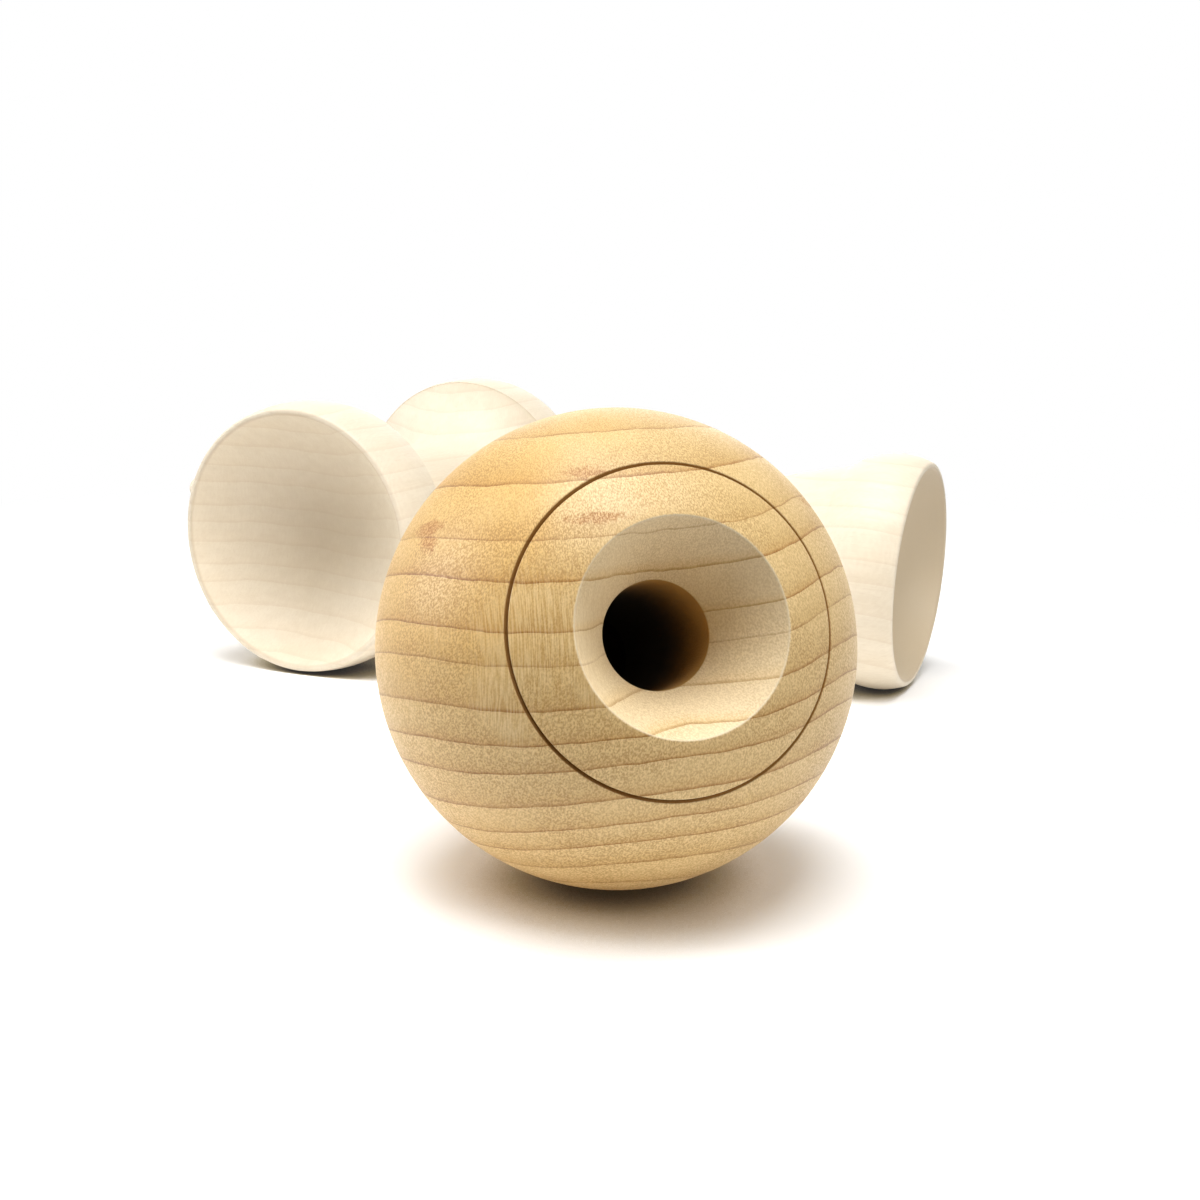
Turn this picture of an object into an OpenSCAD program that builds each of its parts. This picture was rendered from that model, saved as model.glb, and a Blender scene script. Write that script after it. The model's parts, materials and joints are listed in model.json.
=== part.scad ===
// Cup and ball toy in turned maple: a handle with a spike and a base cup, a cross-piece with two
// more cups that slides over the spike onto a taper, and a ball with a bevelled hole.
// Millimetres, +Z up. The handle lies along X with its spike towards -X and the cross-piece along Y.
// Together they rest on the bands of their three cups, and the ball lies on the floor beside them.
// The origin is on the floor, below the middle of the whole toy.

/* [Ball] */
// Diameter of the ball
ball_d = 60; // [54:0.5:70]
// Diameter of the bevelled mouth of the ball's hole
mouth_d = 24.6; // [20:0.2:30]
// Diameter of the hole that takes the spike
hole_d = 12.8; // [11:0.1:16]
// Angle between the bevel and the axis of the hole
bevel_angle = 30; // [20:1:45]
// Diameter of the string hole opposite the mouth
ball_string_d = 2.6; // [1.6:0.1:4]
// Diameter of the ring groove turned around the mouth
groove_d = 37.8; // [34:0.1:48]
// Width of the groove at the surface
groove_w = 0.6; // [0.3:0.1:1.5]
// Depth of the groove
groove_depth = 0.5; // [0.2:0.1:1.5]

/* [Cross-piece] */
// Largest diameter of the small cup
small_cup_d = 53.6; // [44:0.2:60]
// Distance from the middle of the cross-piece to the rim of the small cup
small_cup_reach = 41.2; // [36:0.1:50]
// Width of the small cup's outer band
small_cup_band = 14.8; // [6:0.1:18]
// Largest diameter of the big cup
big_cup_d = 55; // [46:0.2:62]
// Distance from the middle of the cross-piece to the rim of the big cup
big_cup_reach = 36; // [32:0.5:50]
// Width of the big cup's outer band
big_cup_band = 10.8; // [6:0.1:14]
// Width of the flat step behind both bands
shoulder_w = 0.3; // [0.2:0.1:1]
// Radius of the bulge along both bands
cup_bulge_r = 28; // [15:1:60]
// Radius of the bowls of both cups
cup_bowl_r = 27.5; // [27:0.5:40]
// Width of the flat lip of every cup
lip_w = 1.1; // [0.6:0.1:2.5]
// Diameter of the waist
waist_d = 27; // [22:0.5:32]
// Length of the straight part of the waist
waist_len = 12; // [6:0.5:20]
// Diameter of the string hole in the waist
waist_string_d = 2.6; // [1.6:0.1:4]
// How far the string holes lie from the middle of the cross-piece, towards the grip
string_offset = 0; // [0:0.5:6]

/* [Handle] */
// Largest diameter of the base cup
base_cup_d = 44.8; // [38:0.2:50]
// Distance from the middle of the cross-piece to the rim of the base cup
base_reach = 113.5; // [95:0.5:130]
// Width of the base cup's outer band
base_band = 14.7; // [10:0.1:18]
// How far behind its rim the base cup is widest
base_crown = 6; // [4:0.5:9]
// Radius of the bulge along the base cup's band
base_bulge_r = 14; // [12:0.5:40]
// Radius of the base cup's bowl
base_bowl_r = 23; // [22:0.5:36]
// Diameter of the handle at its narrowest
neck_d = 18.8; // [16:0.2:24]
// Distance from the middle of the cross-piece to the narrowest place
neck_reach = 49; // [40:0.5:60]
// Diameter of the grip beside the cross-piece
grip_d = 21.6; // [19:0.2:26]
// Rounding of the grip's end
grip_round = 1.5; // [0.5:0.1:2]
// Half angle of the taper that holds the cross-piece
seat_taper = 3; // [1:0.5:4]
// Distance from the middle of the cross-piece to the tip of the spike
spike_reach = 58.9; // [48:0.1:64]
// Diameter of the rounded tip
tip_d = 5.6; // [4:0.2:8]
// Diameter of the string hole across the taper
seat_string_d = 3; // [2:0.1:4.5]

/* [Clearances] */
// Gap all round between the taper and its hole in the cross-piece
seat_gap = 0.05; // [0.02:0.01:0.1]
// Gap between the grip's end and the cross-piece
grip_gap = 0.3; // [0.2:0.05:1]
// Gap all round between the root of the spike and the ball's hole
spike_gap = 0.15; // [0.1:0.05:0.5]
// Room beyond the tip when the ball sits on the spike
tip_room = 1; // [0.5:0.5:3]

/* [Layout] */
// Where the ball lies along the handle, from the middle of the cross-piece
ball_x = 99.9; // [80:0.1:130]
// Where the ball lies across the handle, from the middle of the cross-piece
ball_y = -109.1; // [-150:0.1:-90]
// Heading of the ball's hole over the floor, from +X
hole_heading = -49.1; // [-180:0.1:180]
// Angle of the hole's axis above the floor
hole_rise = 17.4; // [0:0.1:90]

/* [Hidden] */
$fn = 96;
overrun = 4;
overlap = 1;
curve_steps = 20;
// Share of a curve's length that each of its end directions holds
arm_share = 0.4;

ball_r = ball_d / 2;
mouth_r = mouth_d / 2;
hole_r = hole_d / 2;
mouth_height = sqrt(pow(ball_r, 2) - pow(mouth_r, 2));
waist_r = waist_d / 2;
grip_r = grip_d / 2;
tip_r = tip_d / 2;
tip_centre = tip_r - spike_reach;
spike_r = hole_r - spike_gap;

// Radius of a barrel band at a distance from its widest circle
function band_r(widest_d, bulge_r, away) =
  widest_d / 2 - bulge_r + sqrt(pow(bulge_r, 2) - pow(away, 2));

// Radius of the arc that flares from the waist to the step behind a cup's band
function flare_r(cup_d, reach, band) =
  let (
    run = reach - band - waist_len / 2,
    rise = band_r(cup_d, cup_bulge_r, band / 2) - shoulder_w - waist_r
  )
  (pow(run, 2) + pow(rise, 2)) / (2 * rise);

// Radius of the cross-piece at a distance from its middle, on the side of one cup
function side_r(cup_d, reach, band, away) =
  let (arc_r = flare_r(cup_d, reach, band))
  waist_r + arc_r - sqrt(pow(arc_r, 2) - pow(max(0, away - waist_len / 2), 2));

// The same for the fuller of the two sides
function waist_at(away) = max(
  side_r(small_cup_d, small_cup_reach, small_cup_band, away),
  side_r(big_cup_d, big_cup_reach, big_cup_band, away)
);

// Radius of the taper at a place along the handle
function seat_r(x) = spike_r + (x + waist_r) * tan(seat_taper);

// Point at t along a cubic curve
function curve_point(a, b, c, d, t) =
  pow(1 - t, 3) * a + 3 * pow(1 - t, 2) * t * b + 3 * (1 - t) * pow(t, 2) * c + pow(t, 3) * d;

// Points of a cubic curve after a, up to d
function curve(a, b, c, d) = [for (i = [1:curve_steps]) curve_point(a, b, c, d, i / curve_steps)];

// The mouth of a seated ball meets the waist, and the hole then takes the whole spike
hole_depth = spike_reach - waist_at(mouth_r) + tip_room;
grip_end = waist_at(grip_r) + grip_gap;

// The three cups touch the floor on their bulges, each an arc whose centre circle is known, so the
// floor's normal in the toy's own frame follows from the three circles and the radii of the arcs.
small_crown = small_cup_reach - small_cup_band / 2;
big_crown = big_cup_reach - big_cup_band / 2;
base_widest = base_reach - base_crown;
small_arc_r = small_cup_d / 2 - cup_bulge_r;
big_arc_r = big_cup_d / 2 - cup_bulge_r;
base_arc_r = base_cup_d / 2 - base_bulge_r;
cross_lean = atan2(small_arc_r - big_arc_r, small_crown + big_crown);
floor_y = -sin(cross_lean);
arc_height = big_crown * floor_y - big_arc_r * cos(cross_lean);
base_height = arc_height + base_bulge_r - cup_bulge_r;
handle_lean = atan2(base_arc_r, base_widest) + asin(base_height / norm([base_arc_r, base_widest]));
floor_x = sin(handle_lean);
floor_z = sqrt(1 - pow(floor_x, 2) - pow(floor_y, 2));
cross_roll = atan2(floor_y, floor_z);
cross_z = cup_bulge_r - arc_height;

// Extent of the toy over the floor, seen from the middle of the cross-piece
base_rim_r = band_r(base_cup_d, base_bulge_r, base_crown);
big_rim_r = band_r(big_cup_d, cup_bulge_r, big_cup_band / 2);
x_low = tip_centre * cos(handle_lean) - tip_r;
x_high = max(ball_x + ball_r, base_reach * cos(handle_lean) + base_rim_r * abs(floor_x));
y_low = ball_y - ball_r;
y_high = big_cup_reach * cos(cross_roll) + big_rim_r * abs(sin(cross_roll));
middle = [(x_low + x_high) / 2, (y_low + y_high) / 2, 0];

// Outline of a barrel band between a shoulder and a rim, filled to the axis
module band_outline(widest_d, bulge_r, shoulder, widest, rim) {
  intersection() {
    translate([widest_d / 2 - bulge_r, widest]) circle(bulge_r);
    translate([0, shoulder]) square([widest_d / 2, rim - shoulder]);
  }
}

// Outline of a bowl that leaves a flat lip inside a rim and is never deeper than half a ball
module bowl_outline(bowl_r, rim_r, rim) {
  lip_r = rim_r - lip_w;
  round_r = max(bowl_r, rim_r);
  intersection() {
    translate([0, rim + sqrt(pow(round_r, 2) - pow(lip_r, 2))]) circle(round_r);
    translate([0, rim - round_r]) square([rim_r, 2 * round_r]);
  }
}

// Outline of the cross-piece from its middle to one rim
module half_outline(cup_d, reach, band) {
  shoulder = reach - band;
  end_r = band_r(cup_d, cup_bulge_r, band / 2);
  arc_r = flare_r(cup_d, reach, band);
  difference() {
    union() {
      band_outline(cup_d, cup_bulge_r, shoulder, reach - band / 2, reach);
      difference() {
        square([end_r, shoulder]);
        translate([waist_r, 0]) square([end_r, waist_len / 2]);
        translate([waist_r + arc_r, waist_len / 2]) circle(arc_r);
      }
    }
    bowl_outline(cup_bowl_r, end_r, reach);
  }
}

// Outline of the handle from the root of its rounded tip to the shoulder of the base cup
module stem_outline() {
  shoulder = [band_r(base_cup_d, base_bulge_r, base_band - base_crown), base_reach - base_band];
  neck = [neck_d / 2, neck_reach];
  grip = [grip_r, grip_end + grip_round];
  grip_arm = [0, (neck[1] - grip[1]) * arm_share];
  neck_arm = [0, (shoulder[1] - neck[1]) * arm_share];
  shoulder_arm = (shoulder - neck) * arm_share;
  polygon(concat(
    [[0, tip_centre], [tip_r, tip_centre], [spike_r, -waist_r], [seat_r(grip_end), grip_end]],
    [for (a = [90:-15:0]) grip + grip_round * [cos(a) - 1, -sin(a)]],
    curve(grip, grip + grip_arm, neck - grip_arm, neck),
    curve(neck, neck + neck_arm, shoulder - shoulder_arm, shoulder),
    [[shoulder[0], shoulder[1] + overlap], [0, shoulder[1] + overlap]]
  ));
}

// Lays a handle-and-cross-piece shape, drawn around the middle of the cross-piece, on its cups
module laid() {
  translate([0, 0, cross_z] - middle)
    rotate([0, -handle_lean, 0])
      rotate([cross_roll, 0, 0])
        children();
}

module handle() {
  color([0.93, 0.86, 0.75])
    laid()
      difference() {
        rotate([0, 90, 0])
          rotate_extrude()
            difference() {
              union() {
                stem_outline();
                band_outline(base_cup_d, base_bulge_r, base_reach - base_band, base_widest, base_reach);
                intersection() {
                  translate([0, tip_centre]) circle(tip_r);
                  translate([0, -spike_reach]) square([tip_r, tip_d]);
                }
              }
              bowl_outline(base_bowl_r, base_rim_r, base_reach);
            }
        translate([string_offset, 0, 0])
          cylinder(d = seat_string_d, h = 2 * waist_d, center = true);
      }
}

module cross_piece() {
  bore_half = waist_r + overrun;
  color([0.91, 0.84, 0.73])
    laid()
      difference() {
        rotate([-90, 0, 0])
          rotate_extrude()
            union() {
              half_outline(big_cup_d, big_cup_reach, big_cup_band);
              mirror([0, 1]) half_outline(small_cup_d, small_cup_reach, small_cup_band);
            }
        rotate([0, 90, 0])
          cylinder(
            r1 = seat_r(-bore_half) + seat_gap,
            r2 = seat_r(bore_half) + seat_gap,
            h = 2 * bore_half,
            center = true
          );
        translate([string_offset, 0, 0])
          cylinder(d = waist_string_d, h = waist_d);
      }
}

// Outline of the ball's hole: the bore, the bevel and the way out past the surface
module hole_outline() {
  bevel_bottom = mouth_height - (mouth_r - hole_r) / tan(bevel_angle);
  top = ball_r + overrun;
  polygon([
    [0, mouth_height - hole_depth],
    [hole_r, mouth_height - hole_depth],
    [hole_r, bevel_bottom],
    [hole_r + (top - bevel_bottom) * tan(bevel_angle), top],
    [0, top]
  ]);
}

// Outline of the V groove, set square to the ball's surface
module groove_outline() {
  polar = asin(groove_d / ball_d);
  top = 2 * groove_depth;
  translate(ball_r * [sin(polar), cos(polar)])
    rotate(-polar)
      polygon([[0, -groove_depth], [groove_w * 1.5, top], [-groove_w * 1.5, top]]);
}

module ball() {
  color([0.86, 0.68, 0.45])
    translate([ball_x, ball_y, ball_r] - middle)
      rotate([0, 90 - hole_rise, hole_heading])
        difference() {
          sphere(ball_r);
          rotate_extrude() hole_outline();
          rotate_extrude() groove_outline();
          translate([0, 0, -ball_r - overrun]) cylinder(d = ball_string_d, h = ball_r);
        }
}

handle();
cross_piece();
ball();
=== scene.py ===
"""Dresses a turned wooden cup-and-ball toy: a ball, a handle and a cross-piece with two cups.

Each piece is turned from an outline, as on a lathe, around the axis that the frame gives it, and
gets bare maple with its own growth rings, rays, fine grain and tool marks.
"""

import json
import math

import bpy
from bpy.props import FloatProperty, FloatVectorProperty, IntProperty, PointerProperty
from mathutils import Matrix, Vector


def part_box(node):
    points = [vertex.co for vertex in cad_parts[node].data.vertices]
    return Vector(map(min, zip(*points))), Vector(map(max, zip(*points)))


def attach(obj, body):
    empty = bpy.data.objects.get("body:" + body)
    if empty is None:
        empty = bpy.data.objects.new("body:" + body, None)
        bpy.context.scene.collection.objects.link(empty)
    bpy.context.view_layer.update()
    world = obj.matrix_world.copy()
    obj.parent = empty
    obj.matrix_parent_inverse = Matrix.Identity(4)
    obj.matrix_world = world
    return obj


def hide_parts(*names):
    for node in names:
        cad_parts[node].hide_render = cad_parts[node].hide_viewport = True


bl_info = {
    "name": "Cup and Ball Toy",
    "version": (1, 0, 0),
    "blender": (4, 5, 0),
    "location": "3D View > Sidebar > Cup and Ball",
    "description": "Turns the ball, handle and cross-piece of a wooden cup-and-ball toy",
    "category": "Add Mesh",
}

MM = 0.001

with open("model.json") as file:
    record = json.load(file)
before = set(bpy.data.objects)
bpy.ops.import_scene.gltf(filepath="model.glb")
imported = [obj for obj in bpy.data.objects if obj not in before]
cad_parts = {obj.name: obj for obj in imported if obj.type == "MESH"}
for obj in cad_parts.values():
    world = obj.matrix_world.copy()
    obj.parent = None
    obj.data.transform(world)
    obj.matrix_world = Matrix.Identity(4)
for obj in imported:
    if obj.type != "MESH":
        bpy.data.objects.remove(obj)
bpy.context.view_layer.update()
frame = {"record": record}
MOUNTS = {mount["name"]: mount for mount in frame["record"]["mounts"]}
BALL_LOW, BALL_HIGH = (Vector(corner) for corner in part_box("ball"))
BALL_CENTRE = (BALL_LOW + BALL_HIGH) / 2
HOLE_AXIS = Vector(MOUNTS["ball_hole"]["axis"]).normalized()
HANDLE_AXIS = Vector(MOUNTS["base_rim"]["axis"]).normalized()
STRING_AXIS = Vector(MOUNTS["waist_string_hole"]["axis"]).normalized()
CROSS_AXIS = STRING_AXIS.cross(HANDLE_AXIS).normalized()
BASE_LIP = Vector(MOUNTS["base_rim"]["pos_m"])
DOWN = Vector((0, 0, -1))


def bore_radius(mount):
    """Radius of a bore of the frame, in millimetres."""
    return MOUNTS[mount]["dims"]["r_mm"]


def ball_hole_bottom():
    """How far the bottom of the ball's hole lies behind the ball's middle, in millimetres."""
    hole = MOUNTS["ball_hole"]
    middle = (Vector(hole["pos_m"]) - BALL_CENTRE).dot(HOLE_AXIS) / MM
    return hole["dims"]["length_mm"] / 2 - middle


# Settings


def length(name, description, millimetres):
    """A size that is written in millimetres and held in metres."""
    return FloatProperty(
        name=name, description=description, default=millimetres * MM, min=0, precision=5, unit="LENGTH"
    )


def slope(name, description, degrees):
    """An angle that is written in degrees."""
    return FloatProperty(
        name=name, description=description, default=math.radians(degrees), subtype="ANGLE"
    )


def tint(name, description, colour):
    """A linear colour."""
    return FloatVectorProperty(
        name=name, description=description, default=colour, size=3, min=0, max=1, subtype="COLOR"
    )


def amount(name, description, value, high=1):
    """A plain number."""
    return FloatProperty(name=name, description=description, default=value, min=0, max=high)


def watts(name, description, value):
    """The power of a lamp."""
    return FloatProperty(name=name, description=description, default=value, min=0, unit="POWER")


class BallSettings(bpy.types.PropertyGroup):
    """Sizes and colours of the ball."""

    diameter: length("Diameter", "Diameter of the ball", (BALL_HIGH - BALL_LOW).z / MM)
    mouth: length("Mouth", "Diameter of the bevelled mouth at the ball's surface", 24.6)
    hole: length("Hole", "Diameter of the hole for the spike", 2 * bore_radius("ball_hole"))
    bevel_angle: slope("Bevel Angle", "Slope of the mouth from the hole's axis", 30)
    hole_bottom: length("Hole Bottom", "Distance of its bottom behind the middle", ball_hole_bottom())
    string_hole: length("String Hole", "Diameter of the string hole", 2 * bore_radius("ball_string_hole"))
    groove: length("Groove", "Diameter of the groove round the mouth", 37.8)
    groove_width: length("Groove Width", "Width of the groove at the surface", 0.6)
    groove_depth: length("Groove Depth", "Depth of the groove", 0.5)
    early_wood: tint("Early Wood", "Pale wood of each ring", (0.715, 0.516, 0.238))
    late_wood: tint("Late Wood", "Darker wood towards the end of each ring", (0.615, 0.418, 0.166))
    ring_tone: tint("Ring Tone", "Shade of the darker rings", (0.93, 0.91, 0.87))
    ring_halo: tint("Ring Halo", "Soft shade before each ring line", (0.86, 0.73, 0.46))
    ring_line: tint("Ring Line", "Thin line that ends each ring", (0.31, 0.125, 0.0))
    gold: tint("Gold", "Golden flush on one side", (1.0, 0.89, 0.64))
    grain_dark: tint("Dark Grain", "Shade of the fine grain", (0.62, 0.54, 0.40))
    grain_pale: tint("Pale Grain", "Light of the fine grain", (1.0, 1.0, 1.0))
    stain: tint("Stain", "Shade of the brown mineral stains", (0.68, 0.46, 0.14))
    cut_wood: tint("Cut Wood", "Fresh wood inside the mouth", (0.82, 0.665, 0.425))
    # The next two colours are painted shade in the hole: lighter next to the mouth, near black deep down
    hole_top_shade: tint("Hole Top Shade", "Wood of the hole next to the mouth", (0.42, 0.22, 0.04))
    hole_deep_shade: tint("Hole Deep Shade", "Wood deep in the hole", (0.02, 0.009, 0.002))
    # Colour of the pale ray fibres on the face, and of the painted highlight along the mouth's edge
    rim_highlight_and_pale_fibre: tint("Rim Highlight And Pale Fibre", "Pale fibres along the mouth's edge", (0.70, 0.60, 0.42))
    # Painted shade in the groove, partly darker burnished wood
    groove_shade_and_burnish: tint("Groove Shade And Burnish", "Dark wood in the groove", (0.19, 0.07, 0.0))
    sheen: tint("Sheen", "Soft shine of the ball's edge", (1.0, 0.82, 0.52))


class HandleSettings(bpy.types.PropertyGroup):
    """Sizes of the handle, along its axis from the middle of the cross-piece."""

    base_cup: length("Base Cup", "Widest diameter of the base cup", 44.8)
    base_reach: length("Base Reach", "Distance of the base cup's rim", 113.5)
    base_band: length("Base Band", "Height of the base cup's band", 14.7)
    base_crown: length("Base Crown", "Distance of the band's widest circle from the rim", 6)
    base_bulge: length("Base Bulge", "Radius of the band's bulge", 14)
    base_bowl: length("Base Bowl", "Radius of the base cup's bowl", 23)
    lip: length("Lip", "Width of the flat lip", 1.1)
    neck: length("Neck", "Diameter of the neck", 18.8)
    neck_reach: length("Neck Reach", "Distance of the neck's narrowest place", 49)
    grip: length("Grip", "Diameter of the grip", 21.6)
    grip_gap: length("Grip Gap", "Gap between the grip's end and the cross-piece", 0.3)
    grip_round: length("Grip Round", "Radius of the grip's rounded end", 1.5)
    spike_root: length("Spike Root", "Diameter of the spike where the taper ends", 12.5)
    spike_reach: length("Spike Reach", "Distance of the spike's tip", 58.9)
    tip: length("Tip", "Diameter of the rounded tip", 5.6)
    taper: slope("Taper", "Slope of the taper that holds the cross-piece", 3)
    string_hole: length("String Hole", "Diameter of the string hole", 3)
    # Share of darker end grain and painted shade in the base cup's bowl
    base_shade: amount("Base Shade", "How much end grain shows in the base cup's bowl", 1.0)


class CrossPieceSettings(bpy.types.PropertyGroup):
    """Sizes of the cross-piece, along its axis from its middle."""

    small_cup: length("Small Cup", "Widest diameter of the small cup", 53.6)
    small_reach: length("Small Reach", "Distance of the small cup's rim", 41.2)
    small_band: length("Small Band", "Height of the small cup's band", 14.8)
    big_cup: length("Big Cup", "Widest diameter of the big cup", 55)
    big_reach: length("Big Reach", "Distance of the big cup's rim", 36)
    big_band: length("Big Band", "Height of the big cup's band", 10.8)
    shoulder: length("Shoulder", "Width of the step behind each band", 0.3)
    bulge: length("Bulge", "Radius of the bands' bulge", 28)
    bowl: length("Bowl", "Radius of both bowls", 27.5)
    lip: length("Lip", "Width of the flat lip", 1.1)
    waist: length("Waist", "Diameter of the waist", 27)
    waist_length: length("Waist Length", "Length of the straight waist", 12)
    seat_gap: length("Seat Gap", "Room between the bore and the taper", 0.05)
    string_hole: length("String Hole", "Diameter of the string hole", 2 * bore_radius("waist_string_hole"))
    string_offset: length("String Offset", "Distance of the string hole from the middle", 0)
    # Shares of darker end grain and painted shade in the two bowls
    small_shade: amount("Small Shade", "How much end grain shows in the small cup's bowl", 0.1)
    big_shade: amount("Big Shade", "How much end grain shows in the big cup's bowl", 0.6)


class WoodSettings(bpy.types.PropertyGroup):
    """Colours of the pale maple of the handle and the cross-piece."""

    early_wood: tint("Early Wood", "Pale wood of each ring", (0.735, 0.65, 0.51))
    late_wood: tint("Late Wood", "Darker wood towards the end of each ring", (0.725, 0.63, 0.485))
    ring_line: tint("Ring Line", "Thin line that ends each ring", (0.53, 0.40, 0.27))
    streak: tint("Streak", "Shade of the soft streaks", (0.955, 0.945, 0.93))
    ray: tint("Ray", "Darker flecks of the rays", (0.56, 0.44, 0.31))
    # Darker end grain inside the bowls, which also paints their shade
    end_grain_and_shade: tint("End Grain And Shade", "Darker wood inside the bowls", (0.56, 0.455, 0.31))
    edge: tint("Edge", "Rubbed wood along the lips", (0.52, 0.40, 0.26))


class StageSettings(bpy.types.PropertyGroup):
    """The studio: floor, lamps and camera."""

    floor_size: FloatProperty(
        name="Floor Size", description="Width of the floor", default=6, min=1, unit="LENGTH"
    )
    lens: amount("Lens", "Focal length of the camera, in millimetres", 44.77, 200)
    camera_place: FloatVectorProperty(
        name="Camera", description="Place of the camera", default=(0.13995, -0.22437, 0.07287),
        unit="LENGTH", subtype="XYZ",
    )
    camera_turn: FloatVectorProperty(
        name="Camera Turn", description="Tilt and heading of the camera",
        default=(math.radians(78.638), 0, math.radians(25.012)), subtype="EULER",
    )
    contact_shade: tint("Contact Shade", "Floor right beside a piece", (0.018, 0.009, 0.002))
    soft_shade: tint("Soft Shade", "Floor in the soft shade of a piece", (0.50, 0.43, 0.28))
    glint: tint("Glint", "Warm light of the ball on the floor below it", (1.0, 0.70, 0.36))
    far_floor: tint("Far Floor", "Floor away from the toy, as it lights the toy", (0.2, 0.2, 0.2))
    floor_glow: amount("Floor Glow", "White that the camera sees on the floor beside its shade", 0.02)
    floor_bounce: amount("Floor Bounce", "Light that the floor round the ball throws up at it", 0.28)
    room_light: amount("Room Light", "Light from all round", 0.025, 10)
    top_lamp: watts("Top Lamp", "Power of the lamp overhead", 5.4)
    left_lamp: watts("Left Lamp", "Power of the lamp on the left", 5.5)
    right_lamp: watts("Right Lamp", "Power of the lamp on the right", 3.6)
    back_lamp: watts("Back Lamp", "Power of the lamp behind the toy", 1.8)


class ToySettings(bpy.types.PropertyGroup):
    """Everything that a user would change."""

    ball: PointerProperty(type=BallSettings)
    handle: PointerProperty(type=HandleSettings)
    cross_piece: PointerProperty(type=CrossPieceSettings)
    wood: PointerProperty(type=WoodSettings)
    stage: PointerProperty(type=StageSettings)
    turn_steps: IntProperty(
        name="Turn Steps", description="Steps of each turned piece", default=160, min=32
    )


# Outlines: points of (distance from the axis, distance along it), in metres

CORNER_STEPS = 4
CURVE_STEPS = 14
LEAST_ARC_STEPS = 4
DEGREES_PER_STEP = 3
ARM_SHARE = 0.4

# How far back from its corner each edge is rounded
LIP_ROUND = 0.45 * MM
BASE_SHOULDER_ROUND = 0.5 * MM
STEP_ROUND = 0.12 * MM
SEAT_ROUND = 0.2 * MM
TIP_ROUND = 0.6 * MM
MOUTH_ROUND = 0.22 * MM
BEVEL_ROUND = 0.3 * MM
HOLE_ROUND = 0.8 * MM
STRING_ROUND = 0.2 * MM
GROOVE_ROUND = 0.09 * MM
GROOVE_BOTTOM_ROUND = 0.07 * MM

# Length of the last run of the string hole, which keeps the hole's edge crisp
STRING_END = 0.6 * MM


def arc(centre, radius, start, end):
    """Points of an arc; an angle of 0 points away from the axis and 90 degrees along it."""
    steps = max(LEAST_ARC_STEPS, round(abs(math.degrees(end - start)) / DEGREES_PER_STEP))
    angles = [start + (end - start) * step / steps for step in range(steps + 1)]
    return [Vector((centre[0] + radius * math.cos(a), centre[1] + radius * math.sin(a))) for a in angles]


def line(*points):
    """Points of straight runs."""
    return [Vector(point) for point in points]


def curve(a, b, c, d):
    """Points of a cubic curve."""
    points = []
    for step in range(CURVE_STEPS + 1):
        t = step / CURVE_STEPS
        points.append((1 - t) ** 3 * a + 3 * (1 - t) ** 2 * t * b + 3 * (1 - t) * t**2 * c + t**3 * d)
    return points


def trimmed(points, cut):
    """A run without a length at its end."""
    points = list(points)
    while (points[-1] - points[-2]).length <= cut:
        cut -= (points[-1] - points[-2]).length
        points.pop()
    points[-1] = points[-1] + (points[-2] - points[-1]).normalized() * cut
    return points


def joined(*runs):
    """One outline from runs and, between each two, how far back the corner is rounded."""
    outline = list(runs[0])
    for cut, run in zip(runs[1::2], runs[2::2]):
        if cut == 0:
            outline += run[1:]
            continue
        corner = run[0]
        outline = trimmed(outline, cut)
        before = outline[-1]
        after = trimmed(run[::-1], cut)[::-1]
        for step in range(1, CORNER_STEPS):
            t = step / CORNER_STEPS
            outline.append((1 - t) ** 2 * before + 2 * t * (1 - t) * corner + t**2 * after[0])
        outline += after
    return outline


def base_rim_radius(handle):
    """Radius of the base cup's rim."""
    bulge = handle.base_bulge
    return handle.base_cup / 2 - bulge + math.sqrt(bulge**2 - handle.base_crown**2)


def big_cup(cross_piece):
    """Widest diameter, reach and band of the big cup."""
    return cross_piece.big_cup, cross_piece.big_reach, cross_piece.big_band


def small_cup(cross_piece):
    """Widest diameter, reach and band of the small cup."""
    return cross_piece.small_cup, cross_piece.small_reach, cross_piece.small_band


def cup_rim_radius(cross_piece, cup, band):
    """Radius of a cup's rim on the cross-piece."""
    bulge = cross_piece.bulge
    return cup / 2 - bulge + math.sqrt(bulge**2 - (band / 2) ** 2)


def flare_size(cross_piece, cup, reach, band):
    """How far the flare behind a cup runs along the axis and rises from the waist, and its radius."""
    run = reach - band - cross_piece.waist_length / 2
    rise = cup_rim_radius(cross_piece, cup, band) - cross_piece.shoulder - cross_piece.waist / 2
    return run, rise, (run**2 + rise**2) / (2 * rise)


def grip_end(handle, cross_piece):
    """Distance of the grip's end, which stays clear of the fuller flare."""
    past_waist = handle.grip / 2 - cross_piece.waist_length / 2
    swell = 0
    for cup in (big_cup(cross_piece), small_cup(cross_piece)):
        *_, flare = flare_size(cross_piece, *cup)
        swell = max(swell, flare - math.sqrt(flare**2 - past_waist**2))
    return cross_piece.waist / 2 + swell + handle.grip_gap


def taper_radius(handle, cross_piece, height):
    """Radius of the taper at a distance along the handle."""
    return handle.spike_root / 2 + (cross_piece.waist / 2 + height) * math.tan(handle.taper)


def middle_of(handle):
    """The middle of the cross-piece, where its axis and the handle's cross."""
    lip_middle = base_rim_radius(handle) - handle.lip / 2
    return BASE_LIP - HANDLE_AXIS * handle.base_reach - STRING_AXIS * lip_middle


def bowl_run(bowl, lip_r, reach):
    """The bowl of a cup from its bottom on the axis to the lip."""
    return arc((0, reach + math.sqrt(bowl**2 - lip_r**2)), bowl, -math.pi / 2, -math.acos(lip_r / bowl))


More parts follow.
